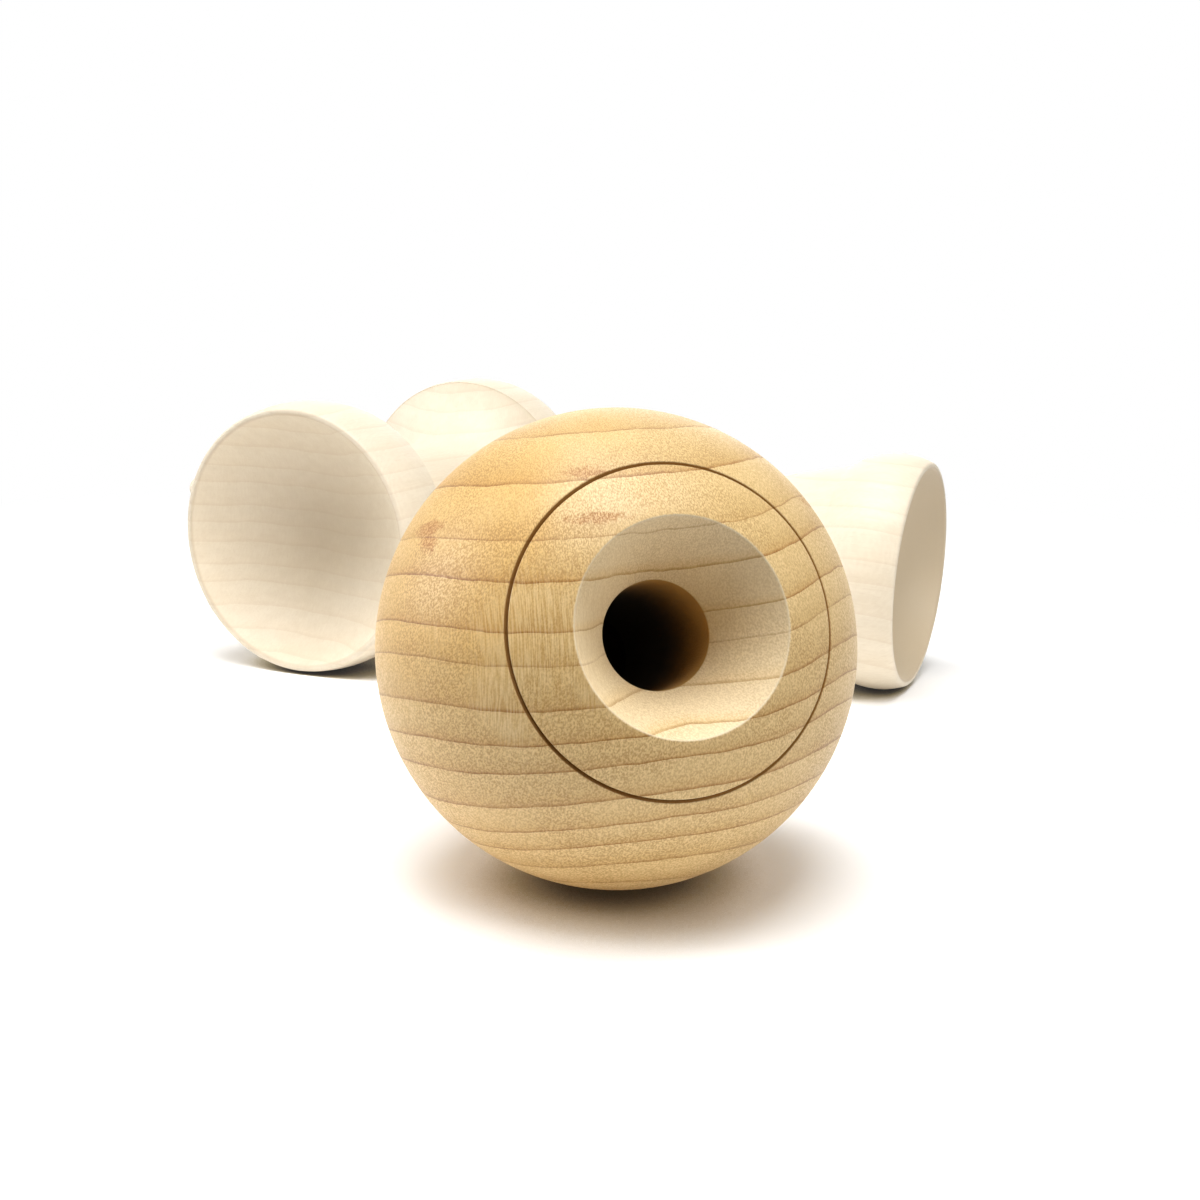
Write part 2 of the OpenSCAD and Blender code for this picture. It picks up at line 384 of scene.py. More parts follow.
def mouth_height(ball):
    """Distance of the mouth's edge from the ball's middle, along the hole."""
    return math.sqrt((ball.diameter / 2) ** 2 - (ball.mouth / 2) ** 2)


def bevel_bottom(ball):
    """Distance of the bevel's inner end from the ball's middle, along the hole."""
    return mouth_height(ball) - (ball.mouth - ball.hole) / 2 / math.tan(ball.bevel_angle)


def ball_outline(ball):
    """The ball's section: the sphere with its groove, the bevelled mouth, the hole and the string hole."""
    radius = ball.diameter / 2
    mouth = Vector((ball.mouth / 2, mouth_height(ball)))
    bevel_end = Vector((ball.hole / 2, bevel_bottom(ball)))
    hole_end = Vector((ball.hole / 2, -ball.hole_bottom))
    string_r = ball.string_hole / 2
    string_start = Vector((string_r, -ball.hole_bottom))
    string_end = Vector((string_r, -math.sqrt(radius**2 - string_r**2)))
    groove_at = math.acos(ball.groove / ball.diameter)
    half_groove = ball.groove_width / ball.diameter
    sphere_low = arc((0, 0), radius, math.asin(string_end.y / radius), groove_at - half_groove)
    sphere_high = arc((0, 0), radius, groove_at + half_groove, math.asin(mouth.y / radius))
    groove_bottom = Vector((math.cos(groove_at), math.sin(groove_at))) * (radius - ball.groove_depth)
    return joined(
        sphere_low, GROOVE_ROUND,
        line(sphere_low[-1], groove_bottom), GROOVE_BOTTOM_ROUND,
        line(groove_bottom, sphere_high[0]), GROOVE_ROUND,
        sphere_high, MOUTH_ROUND,
        line(mouth, bevel_end), BEVEL_ROUND,
        line(bevel_end, hole_end), HOLE_ROUND,
        line(hole_end, string_start), STRING_ROUND,
        line(string_start, string_end + Vector((0, STRING_END)), string_end), 0,
        line(string_end, sphere_low[0]),
    )


def handle_outline(handle, cross_piece):
    """The handle's section from the bottom of its bowl to the tip of its spike."""
    widest_r = handle.base_cup / 2
    bulge = handle.base_bulge
    crown = handle.base_crown
    reach = handle.base_reach
    tail = handle.base_band - crown
    band_centre = (widest_r - bulge, reach - crown)
    rim_r = base_rim_radius(handle)
    lip_r = rim_r - handle.lip
    shoulder = Vector((widest_r - bulge + math.sqrt(bulge**2 - tail**2), reach - handle.base_band))
    neck = Vector((handle.neck / 2, handle.neck_reach))
    grip_at = grip_end(handle, cross_piece)
    grip = Vector((handle.grip / 2, grip_at + handle.grip_round))
    flat_r = handle.grip / 2 - handle.grip_round
    shoulder_arm = (shoulder - neck) * ARM_SHARE
    neck_arm = Vector((0, shoulder.y - neck.y)) * ARM_SHARE
    grip_arm = Vector((0, neck.y - grip.y)) * ARM_SHARE
    root = Vector((handle.spike_root / 2, -cross_piece.waist / 2))
    seat = Vector((taper_radius(handle, cross_piece, grip_at), grip_at))
    tip_r = handle.tip / 2
    tip_at = tip_r - handle.spike_reach
    return joined(
        bowl_run(handle.base_bowl, lip_r, reach), LIP_ROUND,
        line((lip_r, reach), (rim_r, reach)), LIP_ROUND,
        arc(band_centre, bulge, math.asin(crown / bulge), -math.asin(tail / bulge)), BASE_SHOULDER_ROUND,
        curve(shoulder, shoulder - shoulder_arm, neck + neck_arm, neck), 0,
        curve(neck, neck - grip_arm, grip + grip_arm, grip), 0,
        arc((flat_r, grip.y), handle.grip_round, 0, -math.pi / 2), 0,
        line((flat_r, grip_at), seat), SEAT_ROUND,
        line(seat, root), 0,
        line(root, (tip_r, tip_at)), TIP_ROUND,
        arc((0, tip_at), tip_r, 0, -math.pi / 2),
    )


def cup_side(cross_piece, cup, reach, band):
    """Half of the cross-piece's section, from the bottom of one bowl to the middle of the waist."""
    bulge = cross_piece.bulge
    waist_r = cross_piece.waist / 2
    waist_half = cross_piece.waist_length / 2
    rim_r = cup_rim_radius(cross_piece, cup, band)
    lip_r = rim_r - cross_piece.lip
    shoulder = reach - band
    run, rise, flare = flare_size(cross_piece, cup, reach, band)
    tilt = math.asin(band / 2 / bulge)
    return joined(
        bowl_run(cross_piece.bowl, lip_r, reach), LIP_ROUND,
        line((lip_r, reach), (rim_r, reach)), LIP_ROUND,
        arc((cup / 2 - bulge, reach - band / 2), bulge, tilt, -tilt), STEP_ROUND,
        line((rim_r, shoulder), (waist_r + rise, shoulder)), STEP_ROUND,
        arc((waist_r + flare, waist_half), flare, math.pi - math.asin(run / flare), math.pi), 0,
        line((waist_r, waist_half), (waist_r, 0)),
    )


def cross_piece_outline(cross_piece):
    """The cross-piece's section from the bottom of the big cup's bowl to that of the small cup's."""
    big = cup_side(cross_piece, *big_cup(cross_piece))
    small = cup_side(cross_piece, *small_cup(cross_piece))
    return big + [Vector((point.x, -point.y)) for point in small[-2::-1]]


# Turning and boring

MERGE_DISTANCE = 0.001 * MM
CUTTER_SIDES = 96
CUTTER_OVERRUN = 4 * MM
SMOOTH_ANGLE = math.radians(28)


def settings():
    """The settings of the toy in this scene."""
    return bpy.context.scene.cup_and_ball


def deselect_all():
    """Leaves nothing selected, so that an operator acts only on what is added next."""
    if bpy.context.object and bpy.context.object.mode != "OBJECT":
        bpy.ops.object.mode_set(mode="OBJECT")
    bpy.ops.object.select_all(action="DESELECT")


def select_only(piece):
    """Leaves one piece selected and active."""
    deselect_all()
    piece.select_set(True)
    bpy.context.view_layer.objects.active = piece


def turned(name, outline, origin, axis):
    """Turns an outline round an axis through the origin of its distances, as on a lathe."""
    side = axis.orthogonal().normalized()
    places = [origin + side * point.x + axis * point.y for point in outline]
    deselect_all()
    bpy.ops.mesh.primitive_plane_add(size=MM, enter_editmode=True, location=(0, 0, 0))
    piece = bpy.context.object
    piece.name = name
    piece.data.name = name
    bpy.ops.mesh.merge(type="CENTER")
    bpy.ops.transform.translate(value=places[0])
    for place, after in zip(places, places[1:]):
        bpy.ops.mesh.extrude_vertices_move(TRANSFORM_OT_translate={"value": after - place})
    bpy.ops.mesh.select_all(action="SELECT")
    bpy.ops.mesh.spin(steps=settings().turn_steps, angle=2 * math.pi, center=origin, axis=axis)
    bpy.ops.mesh.select_all(action="SELECT")
    bpy.ops.mesh.remove_doubles(threshold=MERGE_DISTANCE)
    bpy.ops.mesh.normals_make_consistent(inside=False)
    bpy.ops.object.mode_set(mode="OBJECT")
    return piece


def bored(piece, start, end, start_r, end_r):
    """Cuts a round hole into a piece, from one place to another."""
    run = end - start
    deselect_all()
    bpy.ops.mesh.primitive_cone_add(
        vertices=CUTTER_SIDES, radius1=start_r, radius2=end_r, depth=run.length,
        location=(start + end) / 2, rotation=run.to_track_quat("Z", "Y").to_euler(),
    )
    cutter = bpy.context.object
    select_only(piece)
    modifier = piece.modifiers.new("Bore", "BOOLEAN")
    modifier.operation = "DIFFERENCE"
    modifier.solver = "EXACT"
    modifier.object = cutter
    bpy.ops.object.modifier_apply(modifier=modifier.name)
    bpy.data.objects.remove(cutter)


def finished(piece, material, node):
    """Smooths a piece, gives it its wood and lets it stand for its node of the frame."""
    select_only(piece)
    bpy.ops.object.shade_smooth_by_angle(angle=SMOOTH_ANGLE)
    piece.data.materials.clear()
    piece.data.materials.append(material)
    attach(piece, node)
    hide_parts(node)


# Nodes

WHITE = (1.0, 1.0, 1.0)

# Sockets of a colour mix, whose node also mixes numbers and vectors
MIX_FACTOR, MIX_BELOW, MIX_ABOVE, MIX_RESULT = 0, 6, 7, 2


class Nodes:
    """Adds nodes to a tree, with sockets or plain values as their inputs."""

    def __init__(self, tree):
        self.tree = tree

    def feed(self, socket, value):
        """Links a value that is a socket, and sets one that is plain."""
        if isinstance(value, bpy.types.NodeSocket):
            self.tree.links.new(value, socket)
        else:
            socket.default_value = value

    def add(self, kind, inputs=(), **choices):
        """A node with its choices set and its inputs fed."""
        node = self.tree.nodes.new(kind)
        for name, value in choices.items():
            setattr(node, name, value)
        for key, value in dict(inputs).items():
            self.feed(node.inputs[key], value)
        return node

    def use(self, name, inputs):
        """The outputs of a shared node group, which is built at its first use."""
        tree = bpy.data.node_groups.get(name) or GROUPS[name](name)
        return self.add("ShaderNodeGroup", inputs, node_tree=tree).outputs

    def math(self, operation, *values):
        """The result of a sum on numbers."""
        return self.add("ShaderNodeMath", enumerate(values), operation=operation).outputs[0]

    def vector(self, operation, *values, out="Vector"):
        """The result of a sum on vectors."""
        return self.add("ShaderNodeVectorMath", enumerate(values), operation=operation).outputs[out]

    def parts(self, vector):
        """The three numbers of a vector."""
        return self.add("ShaderNodeSeparateXYZ", {0: vector}).outputs

    def place(self, x, y, z):
        """A vector from three numbers."""
        return self.add("ShaderNodeCombineXYZ", {0: x, 1: y, 2: z}).outputs[0]

    def product(self, first, *others):
        """The product of some numbers."""
        for other in others:
            first = self.math("MULTIPLY", first, other)
        return first

    def scaled(self, value, factor, added):
        """A number times a factor, plus another number."""
        return self.math("MULTIPLY_ADD", value, factor, added)

    def apart(self, a, b):
        """The distance between two numbers."""
        return self.math("ABSOLUTE", self.math("SUBTRACT", a, b))

    def from_axis(self, x, y):
        """The distance of a place from an axis."""
        return self.math("SQRT", self.scaled(x, x, self.product(y, y)))

    def fade(self, value, low, high, start=0.0, end=1.0):
        """A soft step from start at low to end at high."""
        inputs = {"Value": value, "From Min": low, "From Max": high, "To Min": start, "To Max": end}
        return self.add("ShaderNodeMapRange", inputs, interpolation_type="SMOOTHSTEP").outputs[0]

    def between(self, mask, start, end):
        """A soft step from start outside a mask to end inside it."""
        return self.fade(mask, 0.0, 1.0, start, end)

    def noise(self, place, detail, rough, cells=(1.0, 1.0, 1.0)):
        """A soft random value from 0 to 1, with so many cells to a unit of each axis."""
        cell_place = self.vector("MULTIPLY", place, cells)
        inputs = {"Vector": cell_place, "Scale": 1.0, "Detail": detail, "Roughness": rough}
        return self.add("ShaderNodeTexNoise", inputs).outputs[0]

    def wave(self, place, wavelength, shift):
        """A sine of a number with its wavelength and a shift in radians."""
        return self.math("SINE", self.scaled(place, 2 * math.pi / wavelength, shift))

    def tint(self, factor, below, above, blend="MIX"):
        """One colour over another by a factor; a plain colour is opaque."""
        inputs = {MIX_FACTOR: factor}
        for socket, colour in ((MIX_BELOW, below), (MIX_ABOVE, above)):
            linked = isinstance(colour, bpy.types.NodeSocket)
            inputs[socket] = colour if linked else (*colour, 1.0)
        mix = self.add("ShaderNodeMix", inputs, data_type="RGBA", blend_type=blend)
        return mix.outputs[MIX_RESULT]


def new_material(name):
    """A new material, its nodes and its Principled shader."""
    material = bpy.data.materials.new(name)
    material.use_nodes = True
    return material, Nodes(material.node_tree), material.node_tree.nodes["Principled BSDF"]


def new_group(name, inputs, outputs):
    """An empty node group with named sockets: its nodes, its inputs and the sockets that it puts out."""
    tree = bpy.data.node_groups.new(name, "ShaderNodeTree")
    for side, sockets in (("INPUT", inputs), ("OUTPUT", outputs)):
        for socket, kind in sockets.items():
            tree.interface.new_socket(socket, in_out=side, socket_type=f"NodeSocket{kind}")
    nodes = Nodes(tree)
    return nodes, nodes.add("NodeGroupInput").outputs, nodes.add("NodeGroupOutput").inputs


def put_out(nodes, sockets, values):
    """Puts named values out of a node group, which is then complete."""
    for name, value in values.items():
        nodes.feed(sockets[name], value)
    return nodes.tree


# Wood effects, in millimetres: round the pith, outward from it and along the fibre

# Noises: detail, roughness and, where their size is fixed, cells to a millimetre
JAG_NOISE = (3.0, 0.55, (0.3, 0.15, 0.06))
STROKE_NOISE = (1.5, 0.55)
GRAIN_NOISE = (1.0, 0.5, (6.2, 3.4, 3.0))
PATCH_NOISE = (1.5, 0.5, (0.11, 0.11, 0.11))
FIBRE_NOISES = {
    "Fibre": (3.0, 0.6, (3.2, 3.2, 0.16)),
    "Streak": (3.0, 0.55, (0.35, 0.6, 0.03)),
    "Mottle": (2.0, 0.5, (0.09, 0.11, 0.06)),
}
MARK_NOISE = (3.0, 0.6)
NOISE_MIDDLE = 0.5

# Soft steps that sharpen the noises
STROKE_STEP = (0.38, 0.62)
GRAIN_STEP = (0.32, 0.70)
PATCH_STEP = (0.38, 0.62)

# Wavelength and shift of the swing in the width of the rings, and its height in rings
WIDTH_WAVE = (10.86, -0.475)
WIDTH_SWING = 0.099

# How fast the tool marks change round a piece
MARK_TURN = 0.35


def build_rings(name):
    """Growth rings of a log: where a place lies in its ring, and its place in the unrolled log."""
    numbers = ("Pith", "Bend", "Count", "Rate", "Crowding", "Jag")
    nodes, given, out = new_group(
        name,
        {"Place": "Vector", **dict.fromkeys(numbers, "Float")},
        {"Season": "Float", "Gap": "Float", "Tone": "Float", "Unrolled": "Vector"},
    )
    x, y, z = nodes.parts(given["Place"])
    depth = nodes.math("ADD", y, given["Pith"])
    outward = nodes.math("SUBTRACT", nodes.from_axis(x, depth), given["Pith"])
    around = nodes.product(nodes.math("ARCTAN2", x, depth), given["Pith"])
    unrolled = nodes.place(around, outward, z)
    jag = nodes.math("SUBTRACT", nodes.noise(unrolled, *JAG_NOISE), NOISE_MIDDLE)
    level = nodes.scaled(jag, given["Jag"], nodes.math("ADD", outward, given["Bend"]))
    rate = nodes.scaled(level, given["Crowding"], given["Rate"])
    count = nodes.scaled(level, rate, given["Count"])
    uneven = nodes.scaled(nodes.wave(level, *WIDTH_WAVE), WIDTH_SWING, count)
    season = nodes.math("FRACT", uneven)
    steep = nodes.scaled(nodes.product(level, 2.0), given["Crowding"], given["Rate"])
    gap = nodes.math("DIVIDE", nodes.math("SUBTRACT", 1.0, season), steep)
    ring = nodes.math("FLOOR", uneven)
    tone = nodes.add("ShaderNodeTexWhiteNoise", {"W": ring}, noise_dimensions="1D").outputs["Value"]
    return put_out(nodes, out, {"Season": season, "Gap": gap, "Tone": tone, "Unrolled": unrolled})


def build_rays(name):
    """Rays: strokes of a size, in lines on end grain and flecks on the side, and finer grains."""
    nodes, given, out = new_group(
        name,
        {"Place": "Vector", "Ray Size": "Vector"},
        {"Stroke": "Float", "Grain": "Float", "Patch": "Float"},
    )
    place = given["Place"]
    ray_place = nodes.vector("DIVIDE", place, given["Ray Size"])
    stroke = nodes.fade(nodes.noise(ray_place, *STROKE_NOISE), *STROKE_STEP)
    grain = nodes.fade(nodes.noise(place, *GRAIN_NOISE), *GRAIN_STEP)
    patch = nodes.fade(nodes.noise(place, *PATCH_NOISE), *PATCH_STEP)
    return put_out(nodes, out, {"Stroke": stroke, "Grain": grain, "Patch": patch})


def build_fibre(name):
    """Fibres and pores: fine strokes along the grain, with soft streaks and patches of tone."""
    nodes, given, out = new_group(
        name, {"Unrolled": "Vector"}, dict.fromkeys(FIBRE_NOISES, "Float")
    )
    tones = {tone: nodes.noise(given["Unrolled"], *noise) for tone, noise in FIBRE_NOISES.items()}
    return put_out(nodes, out, tones)


def build_tool_marks(name):
    """Fine lines that a turning tool leaves round a piece, at a pitch along and across its axis."""
    nodes, given, out = new_group(
        name, {"Lathe Place": "Vector", "Pitch": "Float"}, {"Mark": "Float"}
    )
    x, y, z = nodes.parts(given["Lathe Place"])
    turn = nodes.product(nodes.math("ARCTAN2", y, x), MARK_TURN)
    place = nodes.place(nodes.from_axis(x, y), z, turn)
    pitch_place = nodes.vector("DIVIDE", place, nodes.place(given["Pitch"], given["Pitch"], 1.0))
    return put_out(nodes, out, {"Mark": nodes.noise(pitch_place, *MARK_NOISE)})


GROUPS = {
    "Growth Rings": build_rings,
    "Rays": build_rays,
    "Fibre": build_fibre,
    "Tool Marks": build_tool_marks,
}


def log_axes(nodes, origin, fibre, outward):
    """A place in millimetres in a log's axes: round its pith, outward from it and along the fibre."""
    side = outward.cross(fibre).normalized()
    turn = Matrix((side, fibre.cross(side), fibre))
    inputs = {
        "Vector": nodes.add("ShaderNodeTexCoord").outputs["Object"],
        "Location": -(turn @ origin) / MM,
        "Rotation": turn.to_euler(),
        "Scale": (1 / MM, 1 / MM, 1 / MM),
    }
    return nodes.add("ShaderNodeMapping", inputs).outputs[0]


def downward(fibre):
    """The way down across a fibre, which a log's rings face when its pith lies above."""
    return (DOWN - fibre * DOWN.dot(fibre)).normalized()


RELIEF_STRENGTH = 0.6


def finish_wood(nodes, shader, colour, rough, height, relief):
    """Feeds a wood's shader its colour, its roughness and a relief of so many metres."""
    bump = nodes.add(
        "ShaderNodeBump", {"Height": height, "Distance": relief, "Strength": RELIEF_STRENGTH}
    )
    nodes.feed(shader.inputs["Base Color"], colour)
    nodes.feed(shader.inputs["Roughness"], rough)
    nodes.feed(shader.inputs["Normal"], bump.outputs[0])


# Wood of the ball, in millimetres of its log

BALL_ROLL = math.radians(-1.1)
BALL_RINGS = {"Pith": 66.2, "Count": 4.247, "Rate": 0.2297, "Crowding": 0.00204, "Jag": 0.6}
BALL_RAY = (0.15, 3.0, 0.9)

# Slow waves of the rings: lean along the fibre, wavelength, shift and height
BALL_WAVES = ((0.736, 72.7, 1.68, 2.39), (0.155, 37.6, 0.01, 0.98))

# Room round each turned feature, and soft steps over the depth below the ball's round surface
MOUTH_ROOM = 0.05
MOUTH_STEP = (0.02, 0.16)
HOLE_ROOM = 0.2
HOLE_STEP = (0.3, 1.2)
GROOVE_ROOM = 0.8
GROOVE_STEP = (0.02, 0.14, 0.0, 0.9)

# How far down the hole the painted shade darkens from its lighter colour to its near-black one
HOLE_SHADE = 18.0

# Painted highlight along the mouth's edge, with a fuzzy width
RIM_HIGHLIGHT_NOISE = (3.0, 0.7, (2.6, 2.6, 2.6))
RIM_HIGHLIGHT_FUZZ = 0.3
RIM_HIGHLIGHT_STEP = (0.14, 0.34, 0.6, 0.0)

# Tones of the rings: soft steps over the season, the gap to the next ring and the streaks, and shares
BALL_SEASON = (0.1, 1.0)
TONE_SHARE = 0.5
HALO_STEP = (0.0, 1.5, 0.55, 0.0)
LINE_STEP = (0.06, 0.38, 1.0, 0.0)
LINE_TONE = 0.35
LINE_STREAK = (0.3, 0.6, 0.25, 0.6)
LINE_IN_MOUTH = 0.6

# Golden flush: how far mottle and streaks shift its edges, and the soft steps there
GOLD_SIDE_SHIFT = 30.0
GOLD_SIDE = (16.0, 36.0)
GOLD_LOW_SHIFT = 8.0
GOLD_LOW = (2.0, 12.0, 1.0, 0.25)

# Field of rays on the face: its middle, and how far patches shift each edge with its soft step
STROKE_MIDDLE = 16.0
STROKE_SIDE = (-5.0, (-2.0, 9.0, 0.6, 0.1))
STROKE_LOW = (-8.0, (-1.0, 11.0, 1.0, 0.2))
STROKE_HIGH = (6.0, (-12.0, 0.0, 0.1, 1.0))
STROKE_PALE = 0.3
GRAIN_IN_MOUTH = 0.55
GRAIN_IN_PATCH = 0.75

# Brown stains: place in the log and half sizes, and their ragged edge
STAINS = {
    "left": ((24.5, -14.0, 10.2), (1.7, 1.0, 5.0)),
    "left drip": ((24.9, -12.2, 11.5), (0.8, 1.5, 3.0)),
    "upper": ((8.6, -18.1, 22.3), (2.6, 0.8, 4.0)),
    "mouth": ((8.6, -12.4, 26.0), (3.6, 0.7, 3.0)),
    "right": ((-20.5, -15.6, 15.4), (2.0, 1.0, 4.0)),
}
STAIN_NOISE = (5.0, 0.7, (1.1, 1.6, 0.8))
STAIN_RAGGED = -3.0
STAIN_STEP = (-1.0, -0.3, 1.0, 0.0)
STAIN_ON_GRAIN = 0.5

# Surface: shares of the relief, and the roughness of dark and of pale grain
BALL_RELIEF = 0.03 * MM
BALL_GRAIN_HEIGHT = 0.6
BALL_FIBRE_HEIGHT = 0.4
BALL_MARK_HEIGHT = 0.15
MOUTH_MARK_HEIGHT = 0.8
BALL_MARK_PITCH = 0.35
DARK_GRAIN_ROUGH = 0.54
PALE_GRAIN_ROUGH = 0.40
SHEEN_WEIGHT = 0.2
SHEEN_ROUGH = 0.4


def ball_bend(nodes, x, z):
    """The two slow waves of the ball's rings."""
    bend = 0.0
    for lean, wavelength, shift, height in BALL_WAVES:
        wave = nodes.wave(nodes.scaled(z, lean, x), wavelength, shift)
        bend = nodes.scaled(wave, height, bend)
    return bend


def ball_zones(nodes, ball, place):
    """Masks of the ball's cut mouth, its hole, the painted shade down the hole, the painted highlight
    along the mouth's edge and the groove's painted shade and burnish.
    """
    x, y, z = nodes.parts(place)
    mouth_r = ball.mouth / 2 / MM
    hole_r = ball.hole / 2 / MM
    bevel_end = bevel_bottom(ball) / MM
    depth = nodes.math("SUBTRACT", ball.diameter / 2 / MM, nodes.vector("LENGTH", place, out="Value"))
    from_axis = nodes.from_axis(x, y)
    front = nodes.math("GREATER_THAN", z, 0.0)
    in_mouth = nodes.math("LESS_THAN", from_axis, mouth_r + MOUTH_ROOM)
    in_hole = nodes.math("LESS_THAN", from_axis, hole_r + HOLE_ROOM)
    past_bevel = nodes.fade(z, bevel_end - HOLE_ROOM, bevel_end + HOLE_ROOM, 1.0, 0.0)
    # Fuzzy width of the painted highlight along the mouth's edge
    fuzz = nodes.noise(place, *RIM_HIGHLIGHT_NOISE)
    to_rim_highlight = nodes.scaled(fuzz, RIM_HIGHLIGHT_FUZZ, nodes.apart(from_axis, mouth_r))
    to_groove = nodes.apart(from_axis, ball.groove / 2 / MM)
    by_groove = nodes.math("LESS_THAN", to_groove, GROOVE_ROOM)
    return {
        "mouth": nodes.product(in_mouth, front, nodes.fade(depth, *MOUTH_STEP)),
        "hole": nodes.product(in_hole, past_bevel, nodes.fade(depth, *HOLE_STEP)),
        # painted shade down the hole: lighter near the bevel, darker deeper in
        "painted hole shade": nodes.fade(z, bevel_end - HOLE_SHADE, bevel_end),
        # painted highlight along the mouth's edge
        "rim_highlight_and_pale_fibre": nodes.product(nodes.fade(to_rim_highlight, *RIM_HIGHLIGHT_STEP), front),
        # painted shade in the groove, partly burnished wood, deeper down
        "groove": nodes.product(nodes.fade(depth, *GROOVE_STEP), by_groove, front),
    }


def ringed(nodes, ball, place, rings, fibre, mouth):
    """The ball's ground colour: its rings, a golden flush and the fresh wood of the mouth."""
    x, y, z = nodes.parts(place)
    colour = nodes.tint(nodes.fade(rings["Season"], *BALL_SEASON), ball.early_wood, ball.late_wood)
    tone = nodes.product(rings["Tone"], TONE_SHARE)
    colour = nodes.tint(tone, colour, ball.ring_tone, "MULTIPLY")
    gold_side = nodes.fade(nodes.scaled(fibre["Mottle"], GOLD_SIDE_SHIFT, x), *GOLD_SIDE)
    gold_low = nodes.fade(nodes.scaled(fibre["Streak"], GOLD_LOW_SHIFT, y), *GOLD_LOW)
    colour = nodes.tint(nodes.product(gold_side, gold_low), colour, ball.gold, "MULTIPLY")
    colour = nodes.tint(mouth, colour, ball.cut_wood)
    halo = nodes.product(nodes.fade(rings["Gap"], *HALO_STEP), rings["Tone"])
    colour = nodes.tint(halo, colour, ball.ring_halo, "MULTIPLY")
    strength = nodes.scaled(rings["Tone"], LINE_TONE, nodes.fade(fibre["Streak"], *LINE_STREAK))
    strength = nodes.product(strength, nodes.between(mouth, 1.0, LINE_IN_MOUTH))
    ring_line = nodes.product(nodes.fade(rings["Gap"], *LINE_STEP), strength)
    return nodes.tint(ring_line, colour, ball.ring_line)


def stroke_field(nodes, place, patch):
    """How much the rays show on each place of the ball, with edges that patches shift."""
    x, y, z = nodes.parts(place)
    from_middle = nodes.apart(x, STROKE_MIDDLE)
    edges = ((from_middle, STROKE_SIDE), (y, STROKE_LOW), (y, STROKE_HIGH))
    return nodes.product(
        *[nodes.fade(nodes.scaled(patch, shift, way), *step) for way, (shift, step) in edges]
    )


def stained(nodes, place, unrolled, grain, colour, stain):
    """Mineral stains with ragged edges over a colour."""
    ragged = nodes.noise(unrolled, *STAIN_NOISE)
    mask = 0.0
    for spot, half in STAINS.values():
        away = nodes.vector("DIVIDE", nodes.vector("SUBTRACT", place, spot), half)
        far = nodes.vector("LENGTH", away, out="Value")
        near = nodes.fade(nodes.scaled(ragged, STAIN_RAGGED, far), *STAIN_STEP)
        mask = nodes.math("MAXIMUM", near, mask)
    mask = nodes.product(mask, nodes.between(grain, 1.0, STAIN_ON_GRAIN))
    return nodes.tint(mask, colour, stain, "MULTIPLY")


def ball_wood(ball):
    """Honey maple with wide rings, its fibre along the hole and its pith above."""
    material, nodes, shader = new_material("Ball Wood")
    outward = Matrix.Rotation(BALL_ROLL, 3, HOLE_AXIS) @ downward(HOLE_AXIS)
    place = log_axes(nodes, BALL_CENTRE, HOLE_AXIS, outward)
    x, y, z = nodes.parts(place)
    rings = nodes.use("Growth Rings", {"Place": place, "Bend": ball_bend(nodes, x, z), **BALL_RINGS})
    unrolled = rings["Unrolled"]
    rays = nodes.use("Rays", {"Place": place, "Ray Size": BALL_RAY})
    grain = nodes.use("Rays", {"Place": unrolled, "Ray Size": BALL_RAY})["Grain"]
    fibre = nodes.use("Fibre", {"Unrolled": unrolled})
    marks = nodes.use("Tool Marks", {"Lathe Place": place, "Pitch": BALL_MARK_PITCH})
    zones = ball_zones(nodes, ball, place)
    mouth = zones["mouth"]

    strokes = stroke_field(nodes, place, rays["Patch"])
    texture = nodes.scaled(nodes.math("SUBTRACT", rays["Stroke"], grain), strokes, grain)
    texture_share = nodes.product(
        nodes.between(mouth, 1.0, GRAIN_IN_MOUTH), nodes.between(rays["Patch"], 1.0, GRAIN_IN_PATCH)
    )
    pale_strokes = nodes.product(rays["Stroke"], strokes, STROKE_PALE, nodes.between(mouth, 1.0, 0.0))
    # Painted shade inside the hole, from the lighter colour near the bevel to the near-black one deep down
    painted_hole_shade = nodes.tint(zones["painted hole shade"], ball.hole_deep_shade, ball.hole_top_shade)
    texture_tint = nodes.tint(texture, ball.grain_dark, ball.grain_pale)

    colour = ringed(nodes, ball, place, rings, fibre, mouth)
    colour = nodes.tint(texture_share, colour, texture_tint, "MULTIPLY")
    # Pale ray fibres, in the same colour as the painted highlight on the mouth's edge
    colour = nodes.tint(pale_strokes, colour, ball.rim_highlight_and_pale_fibre)
    colour = stained(nodes, place, unrolled, grain, colour, ball.stain)
    # Paints the hole's shade over the wood
    colour = nodes.tint(zones["hole"], colour, painted_hole_shade)
    # Paints a highlight along the mouth's edge
    colour = nodes.tint(zones["rim_highlight_and_pale_fibre"], colour, ball.rim_highlight_and_pale_fibre)
    # Paints the groove's shade and burnish
    colour = nodes.tint(zones["groove"], colour, ball.groove_shade_and_burnish)

    rough = nodes.between(texture, DARK_GRAIN_ROUGH, PALE_GRAIN_ROUGH)
    rough = nodes.math("MAXIMUM", rough, nodes.math("MAXIMUM", zones["hole"], zones["groove"]))
    height = nodes.product(fibre["Fibre"], BALL_FIBRE_HEIGHT)
    height = nodes.scaled(texture, BALL_GRAIN_HEIGHT, height)
    mark_height = nodes.between(mouth, BALL_MARK_HEIGHT, MOUTH_MARK_HEIGHT)
    height = nodes.scaled(marks["Mark"], mark_height, height)
    shader.inputs["Sheen Weight"].default_value = SHEEN_WEIGHT
    shader.inputs["Sheen Roughness"].default_value = SHEEN_ROUGH
    shader.inputs["Sheen Tint"].default_value = (*ball.sheen, 1.0)
    finish_wood(nodes, shader, colour, rough, height, BALL_RELIEF)
    return material


